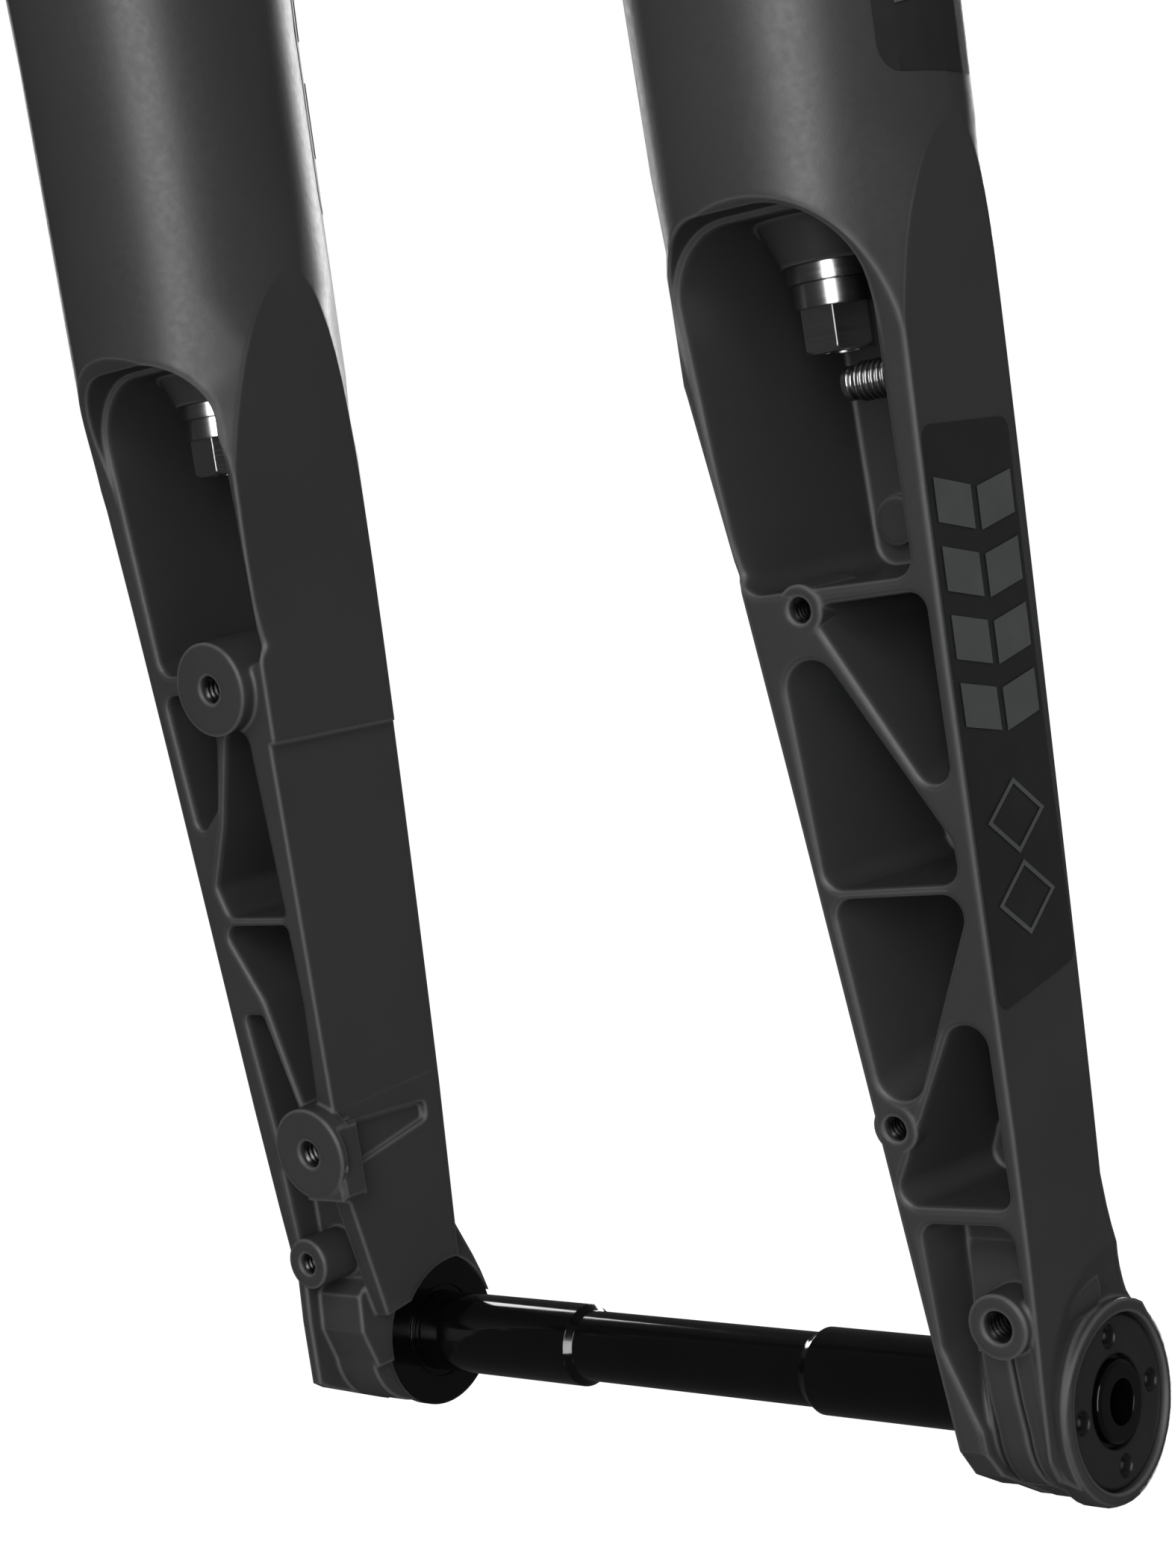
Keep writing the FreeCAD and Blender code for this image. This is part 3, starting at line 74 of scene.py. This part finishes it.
class Shader:
    """A procedural material with short helpers for adding nodes."""

    def __init__(self, name):
        self.mat = bpy.data.materials.new(name)
        self.mat.use_nodes = True
        self.tree = self.mat.node_tree
        self.bsdf = self.tree.nodes["Principled BSDF"]
        self.coords = self.tree.nodes.new("ShaderNodeTexCoord").outputs["Object"]

    def add(self, kind, **values):
        node = self.tree.nodes.new(kind)
        for key, value in values.items():
            if hasattr(node, key):
                setattr(node, key, value)
            else:
                node.inputs[key.replace("_", " ")].default_value = value
        return node

    def link(self, source, target):
        self.tree.links.new(source, target)

    def set(self, **values):
        """Uniform values on the shader's own sockets."""
        for key, value in values.items():
            socket = self.bsdf.inputs[key.replace("_", " ")]
            socket.default_value = (*value, 1.0) if isinstance(value, tuple) else value

    def noise(self, scale, detail, rough=0.55, stretch=None):
        node = self.add("ShaderNodeTexNoise", Scale=scale, Detail=detail, Roughness=rough)
        source = self.coords
        if stretch:
            mapping = self.add("ShaderNodeMapping", Scale=stretch)
            self.link(source, mapping.inputs["Vector"])
            source = mapping.outputs["Vector"]
        self.link(source, node.inputs["Vector"])
        return node.outputs["Fac"]

    def ramp(self, source, first, last, start=0.3, end=0.7):
        """A colour that goes from first to last as the source goes from start to end."""
        node = self.add("ShaderNodeValToRGB")
        for element, place, colour in zip(node.color_ramp.elements, (start, end), (first, last)):
            element.position = place
            element.color = (*colour, 1.0)
        self.link(source, node.inputs["Fac"])
        return node.outputs["Color"]

    def blend(self, amount, base, over):
        """The base colour, giving way to another as amount nears 1."""
        node = self.add("ShaderNodeMix", data_type="RGBA")
        factor, first, second = node.inputs[0], node.inputs[6], node.inputs[7]
        self.link(amount, factor)
        self.link(base, first)
        second.default_value = (*over, 1.0)
        return node.outputs[2]

    def grey(self, source, low, high, start=0.3, end=0.7):
        """A number between low and high that follows the source."""
        node = self.add("ShaderNodeMapRange", From_Min=start, From_Max=end, To_Min=low, To_Max=high)
        self.link(source, node.inputs["Value"])
        return node.outputs["Result"]

    def rounded(self, radius):
        """The surface normal with every edge rounded."""
        return self.add("ShaderNodeBevel", samples=BEVEL_SAMPLES, Radius=radius).outputs["Normal"]

    def edges(self, radius):
        """1 close to an edge of the shape, 0 on its faces."""
        match = self.add("ShaderNodeVectorMath", operation="DOT_PRODUCT")
        self.link(self.rounded(radius), match.inputs[0])
        self.link(self.add("ShaderNodeNewGeometry").outputs["Normal"], match.inputs[1])
        return self.grey(match.outputs["Value"], 1.0, 0.0, start=0.86, end=0.985)

    def bump(self, layers, edge=0.0):
        """Bumps stacked on a rounded-edge normal; layers are (height, strength, distance)."""
        normal = self.rounded(edge) if edge else None
        for height, strength, distance in layers:
            node = self.add("ShaderNodeBump", Strength=strength, Distance=distance)
            self.link(height, node.inputs["Height"])
            if normal is not None:
                self.link(normal, node.inputs["Normal"])
            normal = node.outputs["Normal"]
        self.link(normal, self.bsdf.inputs["Normal"])

    def finish(self, colour, roughness, layers, edge=0.0):
        """Join the colour, the roughness and the bumps, and give back the material."""
        self.link(colour, self.bsdf.inputs["Base Color"])
        self.link(roughness, self.bsdf.inputs["Roughness"])
        self.bump(layers, edge)
        return self.mat


def painted_casting():
    """Satin charcoal paint over a cast surface: fine orange peel, faint cloudiness, and a painted highlight
    along every edge.
    """
    s = Shader("painted_casting")
    cloud = s.noise(scale=38, detail=3)
    peel = s.noise(scale=900, detail=3)
    grain = s.noise(scale=4200, detail=2, rough=0.7)
    paint = s.ramp(cloud, (0.0215, 0.0218, 0.0224), (0.0255, 0.0257, 0.0263))
    # Paler colour along every edge, convex and concave alike: a painted highlight standing in for light caught
    # by rounded edges.
    colour = s.blend(s.edges(PAINTED_HIGHLIGHT_REACH), paint, (0.080, 0.081, 0.083))
    s.set(Metallic=0.0, IOR=1.5)
    return s.finish(colour, s.grey(peel, 0.38, 0.46), [(peel, 0.05, 0.0003), (grain, 0.10, 0.00006)], CAST_EDGE)


def gloss_anodised(name, colour, rough, edge=FINE_EDGE):
    """Glossy black anodised turning with very fine tool marks round the X axis."""
    s = Shader(name)
    marks = s.noise(scale=60, detail=2, rough=0.5, stretch=(60, 1, 1))
    smudge = s.noise(scale=120, detail=3)
    paler = tuple(1.35 * channel for channel in colour)
    s.set(Metallic=0.0, IOR=1.5, Coat_Weight=0.5, Coat_Roughness=0.05)
    return s.finish(s.ramp(smudge, colour, paler, end=0.75), s.grey(smudge, rough * 0.8, rough * 1.3),
                    [(marks, 0.03, 0.00005)], edge)


def turned_metal(name, dark, light, rough, metallic=1.0, edge=FINE_EDGE):
    """Turned or drawn metal: rings across the Z axis and slight tarnish."""
    s = Shader(name)
    rings = s.noise(scale=45, detail=2, rough=0.5, stretch=(1, 1, 90))
    patch = s.noise(scale=90, detail=4)
    s.set(Metallic=metallic)
    return s.finish(s.ramp(patch, dark, light), s.grey(rings, rough * 0.88, rough * 1.14),
                    [(rings, 0.02, 0.0001)], edge)


def soft_rubber(name, dark, light, rough=0.75, scale=1500):
    """Moulded rubber or plastic with a fine mould texture."""
    s = Shader(name)
    fine = s.noise(scale, detail=3)
    cloud = s.noise(scale=70, detail=3)
    return s.finish(s.ramp(cloud, dark, light), s.grey(fine, rough - 0.08, rough + 0.08),
                    [(fine, 0.25, 0.00008)], edge=0.0003)


def open_foam(name, dark, light):
    """Oiled open-cell foam: pale cell walls round dark cells."""
    s = Shader(name)
    cells = s.add("ShaderNodeTexVoronoi", Scale=1100)
    s.link(s.coords, cells.inputs["Vector"])
    distance = cells.outputs["Distance"]
    s.link(s.ramp(distance, light, dark, start=0.1), s.bsdf.inputs["Base Color"])
    s.set(Roughness=0.95)
    s.bump([(distance, 0.8, 0.0004)])
    return s.mat


def printed_film(name, dark, light, rough):
    """Thin printed film: satin, with a faint print grain."""
    s = Shader(name)
    grain = s.noise(scale=2600, detail=2)
    cloud = s.noise(scale=110, detail=3)
    return s.finish(s.ramp(cloud, dark, light), s.grey(grain, rough - 0.04, rough + 0.05),
                    [(grain, 0.05, 0.00004)])


MATERIALS = {
    "casting": painted_casting(),
    "stanchion": turned_metal("stanchion_coat", (0.010, 0.010, 0.012), (0.014, 0.014, 0.016), 0.16,
                              metallic=0.3),
    "crown": turned_metal("crown_anodised", (0.022, 0.022, 0.024), (0.030, 0.030, 0.032), 0.42,
                          metallic=0.2, edge=0.0008),
    "steerer": turned_metal("steerer_alloy", (0.56, 0.56, 0.58), (0.66, 0.66, 0.68), 0.30),
    "gloss_black": gloss_anodised("gloss_anodised", (0.0010, 0.0010, 0.0012), 0.10),
    "dark_steel": turned_metal("dark_steel", (0.40, 0.40, 0.41), (0.50, 0.50, 0.51), 0.24),
    "steel": turned_metal("ground_steel", (0.50, 0.50, 0.51), (0.62, 0.62, 0.63), 0.18),
    "seal_rubber": soft_rubber("seal_rubber", (0.012, 0.012, 0.012), (0.020, 0.020, 0.020)),
    "foam": open_foam("oiled_foam", (0.05, 0.04, 0.02), (0.30, 0.26, 0.14)),
    "bushing": turned_metal("bushing_coat", (0.32, 0.26, 0.18), (0.42, 0.35, 0.25), 0.45),
    "internal_alloy": turned_metal("turned_alloy", (0.60, 0.60, 0.62), (0.72, 0.72, 0.74), 0.25),
    "elastomer": soft_rubber("elastomer", (0.35, 0.06, 0.03), (0.45, 0.09, 0.05), 0.55),
    "plastic": soft_rubber("moulded_plastic", (0.018, 0.018, 0.020), (0.026, 0.026, 0.028), 0.5, 2200),
    "brass": turned_metal("turned_brass", (0.55, 0.38, 0.13), (0.68, 0.50, 0.22), 0.28),
    "accent_anodised": turned_metal("accent_anodised", (0.020, 0.060, 0.200), (0.030, 0.085, 0.260), 0.25),
}
COLLAR_BLACK = gloss_anodised("collar_anodised", (0.0090, 0.0090, 0.0093), 0.14, edge=0.0006)
PANEL_FILM = printed_film("panel_film", (0.0105, 0.0106, 0.0110), (0.0130, 0.0131, 0.0136), 0.42)
MARK_FILM = printed_film("mark_film", (0.040, 0.043, 0.042), (0.048, 0.051, 0.050), 0.38)
THREAD_METAL = turned_metal("cut_thread", (0.060, 0.060, 0.062), (0.090, 0.090, 0.092), 0.28)

for entry in frame["record"]["subparts"]:
    mesh = NODES[entry["node"]].data
    mesh.materials.clear()
    mesh.materials.append(MATERIALS[entry["material_slot"]])
NODES["axle_collar"].data.materials[0] = COLLAR_BLACK


def add_object(name, bm, material):
    """Turn a finished bmesh into an object in the scene."""
    mesh = bpy.data.meshes.new(name)
    bm.to_mesh(mesh)
    bm.free()
    mesh.materials.append(material)
    obj = bpy.data.objects.new(name, mesh)
    bpy.context.scene.collection.objects.link(obj)
    return obj


def on_casting(piece):
    """A piece that belongs to the casting and moves with the lowers."""
    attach(piece, "lowers")


# ---------------------------------------------------------------- films and their marks
FILM_OFFSET = 0.10       # film above the paint
MARK_OFFSET = 0.26       # printed marks above the paint, so above the film
CELL_ACROSS = 2.0        # cells that a film is cut into, so that it can bend
CELL_UP = 4.0


def rounded_outline(corners, radius, steps=6):
    """Closed outline of a polygon with rounded corners."""
    points = []
    count = len(corners)
    for i in range(count):
        here = Vector(corners[i])
        before = (Vector(corners[i - 1]) - here).normalized()
        after = (Vector(corners[(i + 1) % count]) - here).normalized()
        half = before.angle(after) / 2
        reach = radius / math.tan(half)
        centre = here + (before + after).normalized() * (radius / math.sin(half))
        start = here + before * reach - centre
        end = here + after * reach - centre
        turn = start.angle_signed(end)
        for k in range(steps + 1):
            points.append(centre + Matrix.Rotation(-turn * k / steps, 2) @ start)
    return points


def filled_outlines(outlines):
    """Flat faces from closed outlines, cut into small cells."""
    bm = bmesh.new()
    for outline in outlines:
        bm.faces.new([bm.verts.new((p[0], p[1], 0)) for p in outline])
    for k, cell, normal in ((0, CELL_ACROSS, Vector((1, 0, 0))), (1, CELL_UP, Vector((0, 1, 0)))):
        reach = [point[k] for outline in outlines for point in outline]
        at = min(reach) + cell
        while at < max(reach):
            bmesh.ops.bisect_plane(bm, geom=bm.verts[:] + bm.edges[:] + bm.faces[:],
                                   plane_co=normal * at, plane_no=normal)
            at += cell
    return bm


def film(name, outlines, place, offset, material, inward):
    """Film pieces laid on the casting: place turns an outline's two numbers into a point near it."""
    bm = filled_outlines(outlines)
    for vert in bm.verts:
        vert.co = Vector(place(vert.co.x, vert.co.y)) * MM
    bmesh.ops.triangulate(bm, faces=bm.faces[:])
    bm.normal_update()
    for face in bm.faces:
        if face.normal.dot(Vector(inward)) > 0:
            face.normal_flip()
        face.smooth = True
    obj = add_object(name, bm, material)
    lay = obj.modifiers.new("lay", "SHRINKWRAP")
    lay.target = CASTING
    lay.wrap_method = "NEAREST_SURFACEPOINT"
    lay.wrap_mode = "ABOVE_SURFACE"
    lay.offset = offset * MM
    on_casting(obj)


# Corners of the panel on the right leg's outer facet, as (y, z).
PANEL_REAR_TOP = (-24.0, 124.0)
PANEL_FRONT_TOP = (-5.5, 124.0)
PANEL_FRONT_FOOT = (-1.9, 57.5)
PANEL_REAR_FOOT = (-19.5, 54.3)
PANEL_CORNER_R = 1.8
FACET_X = 65.54          # facet's x at the axle's height
FACET_SLOPE = 0.0478     # and how fast it leans outwards going up
BAR_TOPS = (118.0, 110.0, 102.0, 94.0)
BAR_HEIGHT = 5.2
BAR_LEAN = 3.2           # fall or rise across the whole panel
BAR_MARGIN = 1.0
BAR_SPLIT = (0.46, 0.54)  # where the rear bar ends and the front bar starts
DIAMOND_TOPS = (81.5, 71.5)
DIAMOND_HALF_WIDTH = 6.3
DIAMOND_HALF_HEIGHT = 4.6
DIAMOND_LINE = (1.0, 0.75)  # line width across and up


def on_outer_facet(y, z):
    """Place on the right leg's flat outer side."""
    return (FACET_X + FACET_SLOPE * z, y, z)


def along_edge(top, foot, z):
    """Where a side of the panel is at height z."""
    return top[0] + (top[1] - z) * (foot[0] - top[0]) / (top[1] - foot[1])


def panel_rear(z):
    return along_edge(PANEL_REAR_TOP, PANEL_REAR_FOOT, z)


def panel_front(z):
    return along_edge(PANEL_FRONT_TOP, PANEL_FRONT_FOOT, z)


def slanted_bar(top, lean, start, end):
    """Plain slanted bar; start and end are fractions of the way from the panel's rear side to its front."""
    far_top = top + lean * (end - start)
    corners = []
    for share, z in ((start, top), (end, far_top), (end, far_top - BAR_HEIGHT), (start, top - BAR_HEIGHT)):
        rear = panel_rear(z) + BAR_MARGIN
        front = panel_front(z) - BAR_MARGIN
        corners.append((rear + share * (front - rear), z))
    return corners


def diamond(middle_y, middle_z, half_width, half_height):
    """Corners of a diamond, from its top round by the front."""
    return [(middle_y, middle_z + half_height), (middle_y + half_width, middle_z),
            (middle_y, middle_z - half_height), (middle_y - half_width, middle_z)]


def open_diamond(top):
    """Four strips between a diamond and a smaller one inside it."""
    middle_y = (panel_rear(top - 4) + panel_front(top - 4)) / 2
    middle_z = top - DIAMOND_HALF_HEIGHT
    outer = diamond(middle_y, middle_z, DIAMOND_HALF_WIDTH, DIAMOND_HALF_HEIGHT)
    line_across, line_up = DIAMOND_LINE
    inner = diamond(middle_y, middle_z, DIAMOND_HALF_WIDTH - line_across, DIAMOND_HALF_HEIGHT - line_up)
    return [[outer[i], outer[(i + 1) % 4], inner[(i + 1) % 4], inner[i]] for i in range(4)]


def panel_marks():
    """Rows of paired bars and two open diamonds."""
    marks = []
    rear_end, front_start = BAR_SPLIT
    for top in BAR_TOPS:
        marks.append(slanted_bar(top, -BAR_LEAN, 0.0, rear_end))
        marks.append(slanted_bar(top - BAR_LEAN * front_start, BAR_LEAN, front_start, 1.0))
    for top in DIAMOND_TOPS:
        marks.extend(open_diamond(top))
    return marks


TUBE_R = 20.4            # leg's round outside, high up
WRAP_TOP = 296.0
WRAP_CORNER = (8.0, 3.0)  # degrees round the leg, and height
MARK_COUNT = 7
MARK_STEP = 17.0
MARK_HEIGHT = 11.0
MARK_LEAN = 2.6


def on_tube(side):
    """Place on a leg's round outside; u is degrees from +X towards +Y."""
    def place(u, z):
        angle = math.radians(u)
        return (side * LEG_X + TUBE_R * math.cos(angle), LEG_Y + TUBE_R * math.sin(angle), z)
    return place


def wrap_outline(u0, u1, foot):
    """Outline of a wrap from u0 to u1 degrees, with its corners cut in four steps."""
    cut = ((1.0, 0.0), (0.62, 0.10), (0.28, 0.34), (0.08, 0.66), (0.0, 1.0))
    du, dz = WRAP_CORNER
    lower_right = [(u1 - du * a, foot + dz * b) for a, b in cut]
    upper_right = [(u1 - du * b, WRAP_TOP - dz * a) for a, b in cut]
    upper_left = [(u0 + du * a, WRAP_TOP - dz * b) for a, b in cut]
    lower_left = [(u0 + du * b, foot + dz * a) for a, b in cut]
    return lower_right + upper_right + upper_left + lower_left


def wrap_marks(u0, u1, foot):
    """Upright row of plain slanted bars."""
    rows = [foot + MARK_STEP * i for i in range(MARK_COUNT)]
    return [[(u0, z), (u1, z + MARK_LEAN), (u1, z + MARK_LEAN + MARK_HEIGHT), (u0, z + MARK_HEIGHT)]
            for z in rows]


INTO_RIGHT_LEG = (-1, 0, 0)
INTO_LEFT_LEG = (0.4, -1, 0)
PANEL_OUTLINE = rounded_outline((PANEL_REAR_TOP, PANEL_FRONT_TOP, PANEL_FRONT_FOOT, PANEL_REAR_FOOT),
                                PANEL_CORNER_R)
for label, outlines, place, inward, offset, material in (
        ("panel_right", [PANEL_OUTLINE], on_outer_facet, INTO_RIGHT_LEG, FILM_OFFSET, PANEL_FILM),
        ("marks_right", panel_marks(), on_outer_facet, INTO_RIGHT_LEG, MARK_OFFSET, MARK_FILM),
        ("wrap_right", [wrap_outline(-29, 29, 163.5)], on_tube(1), INTO_RIGHT_LEG, FILM_OFFSET, PANEL_FILM),
        ("wrap_marks_right", wrap_marks(-21, 21, 171.0), on_tube(1), INTO_RIGHT_LEG, MARK_OFFSET, MARK_FILM),
        ("wrap_left", [wrap_outline(38, 92, 170.0)], on_tube(-1), INTO_LEFT_LEG, FILM_OFFSET, PANEL_FILM),
        ("wrap_marks_left", wrap_marks(47, 84, 178.0), on_tube(-1), INTO_LEFT_LEG, MARK_OFFSET, MARK_FILM)):
    film("decal_" + label, outlines, place, offset, material, inward)


# ---------------------------------------------------------------- threads
M4 = (1.64, 0.7)         # radius of the hole less a hair, and pitch
M5 = (2.09, 0.8)
THREAD_START = 0.5       # below the hole's mouth
THREAD_SIDES = 40
# How far the thread reaches in at the quarters of a turn, as a share of the pitch.
THREAD_FORM = (0.025, 0.2125, 0.425, 0.2125)


def thread(name, mouth, inward, size, turns):
    """Cut thread just inside a hole: a band whose radius rises and falls with each turn."""
    radius, pitch = size
    axis = Vector(inward).normalized()
    side = axis.orthogonal().normalized()
    other = axis.cross(side)
    bm = bmesh.new()
    rows = []
    for quarter in range(turns * 4 + 1):
        reach = radius - THREAD_FORM[quarter % 4] * pitch
        row = []
        for k in range(THREAD_SIDES):
            angle = 2 * math.pi * k / THREAD_SIDES
            depth = THREAD_START + pitch * (quarter / 4 + k / THREAD_SIDES)
            out = side * math.cos(angle) + other * math.sin(angle)
            row.append(bm.verts.new((Vector(mouth) + axis * depth + out * reach) * MM))
        rows.append(row)
    for low, high in zip(rows, rows[1:]):
        for k in range(THREAD_SIDES - 1):
            bm.faces.new((low[k], low[k + 1], high[k + 1], high[k]))
    on_casting(add_object(name, bm, THREAD_METAL))


def thread_single(label, mount_name, size, turns):
    """Thread in a mount's only hole."""
    mount = MOUNTS[mount_name]
    thread("thread_" + label, Vector(mount["pos_m"]) / MM, -Vector(mount["axis"]), size, turns)


def thread_pair(label, mount_name, size, turns):
    """Threads in a mount's two holes, which lie one above the other on the sloping rear face."""
    mount = MOUNTS[mount_name]
    axis = Vector(mount["axis"])
    half = axis.cross(Vector((1, 0, 0))).normalized() * mount["dims"]["pcd_mm"] / 2
    middle = Vector(mount["pos_m"]) / MM
    thread("thread_" + label + "_upper", middle + half, -axis, size, turns)
    thread("thread_" + label + "_lower", middle - half, -axis, size, turns)


thread_single("clamp", "clamp_boss_hole", M5, 8)
thread_single("guide", "guide_hole", M4, 9)
thread_pair("accessory", "accessory_holes", M4, 8)
thread_pair("brake", "brake_mount", M5, 14)


# ---------------------------------------------------------------- floor and surroundings
FLOOR_HALF_WIDTH = 14.0
FLOOR_GAP = 0.012        # below the object's lowest point
FLOOR_GLOW = 0.985
SEEN_WHITE = 1.0         # the surroundings as the camera sees them
FILL = 0.86              # as matt surfaces receive them
SHINE = 0.05             # as glossy surfaces mirror them


def floor_material():
    """Pale, almost shadowless studio floor."""
    s = Shader("pale_floor")
    cloud = s.noise(scale=3, detail=2)
    s.link(s.ramp(cloud, (0.060, 0.060, 0.060), (0.064, 0.064, 0.064)), s.bsdf.inputs["Base Color"])
    s.set(Roughness=1.0, Specular_IOR_Level=0.0, Emission_Color=(1.0, 1.0, 1.0), Emission_Strength=FLOOR_GLOW)
    return s.mat


def add_floor():
    z = CAD_BOX[0][2] - FLOOR_GAP
    r = FLOOR_HALF_WIDTH
    bm = bmesh.new()
    bm.faces.new([bm.verts.new((x, y, z)) for x, y in ((-r, -r), (r, -r), (r, r), (-r, r))])
    obj = add_object("floor", bm, floor_material())
    obj.visible_diffuse = False
    obj.visible_glossy = False


def add_world():
    """Plain white surroundings, bright to the camera and dim in reflections."""
    world = bpy.data.worlds.new("studio")
    world.use_nodes = True
    world.cycles.sampling_method = "NONE"
    bpy.context.scene.world = world
    tree = world.node_tree

    def background(node, strength):
        node.inputs["Color"].default_value = (1, 1, 1, 1)
        node.inputs["Strength"].default_value = strength
        return node.outputs[0]

    def choose(test, if_not, if_so):
        mix = tree.nodes.new("ShaderNodeMixShader")
        for source, target in zip((test, if_not, if_so), mix.inputs):
            tree.links.new(source, target)
        return mix.outputs[0]

    ray = tree.nodes.new("ShaderNodeLightPath")
    seen = background(tree.nodes["Background"], SEEN_WHITE)
    shine = background(tree.nodes.new("ShaderNodeBackground"), SHINE)
    fill = background(tree.nodes.new("ShaderNodeBackground"), FILL)
    lit = choose(ray.outputs["Is Glossy Ray"], fill, shine)
    final = choose(ray.outputs["Is Camera Ray"], lit, seen)
    tree.links.new(final, tree.nodes["World Output"].inputs["Surface"])


add_floor()
add_world()
bpy.context.scene.view_settings.view_transform = "Standard"


# ---------------------------------------------------------------- camera
CAMERA_PLACE = Vector((0.246255, -0.286152, 0.115499))
CAMERA_AIM = Vector((0.014349, -0.025661, 0.086078))
CAMERA_ROLL = -8.6333    # degrees
SENSOR_HEIGHT = 36.0     # camera sensor and lens, in millimetres
LENS = 62.516


def add_camera():
    """Camera behind the right leg, close to the axle and a little rolled."""
    data = bpy.data.cameras.new("camera")
    data.sensor_fit = "VERTICAL"
    data.sensor_height = SENSOR_HEIGHT
    data.lens = LENS
    data.clip_start = 0.01
    obj = bpy.data.objects.new("camera", data)
    aim = (CAMERA_AIM - CAMERA_PLACE).to_track_quat("-Z", "Y").to_matrix()
    turn = aim @ Matrix.Rotation(math.radians(CAMERA_ROLL), 3, "Z")
    obj.matrix_world = Matrix.Translation(CAMERA_PLACE) @ turn.to_4x4()
    bpy.context.scene.collection.objects.link(obj)
    bpy.context.scene.camera = obj
    return turn


CAMERA_TURN = add_camera()


# ---------------------------------------------------------------- lights
LIT_CENTRE = Vector((0.02, -0.01, 0.09))


def softbox(name, turn, lift, distance, width, height, radiance):
    """Area light round the object: turn is degrees to the camera's right, lift is degrees up."""
    right, up, back = CAMERA_TURN.transposed()
    turn = math.radians(turn)
    lift = math.radians(lift)
    out = (back * math.cos(turn) + right * math.sin(turn)) * math.cos(lift) + up * math.sin(lift)
    data = bpy.data.lights.new(name, "AREA")
    data.shape = "RECTANGLE"
    data.size = width
    data.size_y = height
    data.energy = radiance * math.pi * width * height
    lamp = bpy.data.objects.new(name, data)
    lamp.location = LIT_CENTRE + out * distance
    lamp.rotation_euler = (-out).to_track_quat("-Z", "Y").to_euler()
    bpy.context.scene.collection.objects.link(lamp)


softbox("key", turn=-14, lift=12, distance=1.3, width=0.62, height=1.5, radiance=6.6)
softbox("rim_right", turn=153, lift=4, distance=1.3, width=0.22, height=1.5, radiance=16.0)
softbox("rim_left", turn=-158, lift=10, distance=1.3, width=0.20, height=1.4, radiance=5.0)
softbox("under", turn=-30, lift=-42, distance=1.1, width=0.5, height=0.2, radiance=0.8)
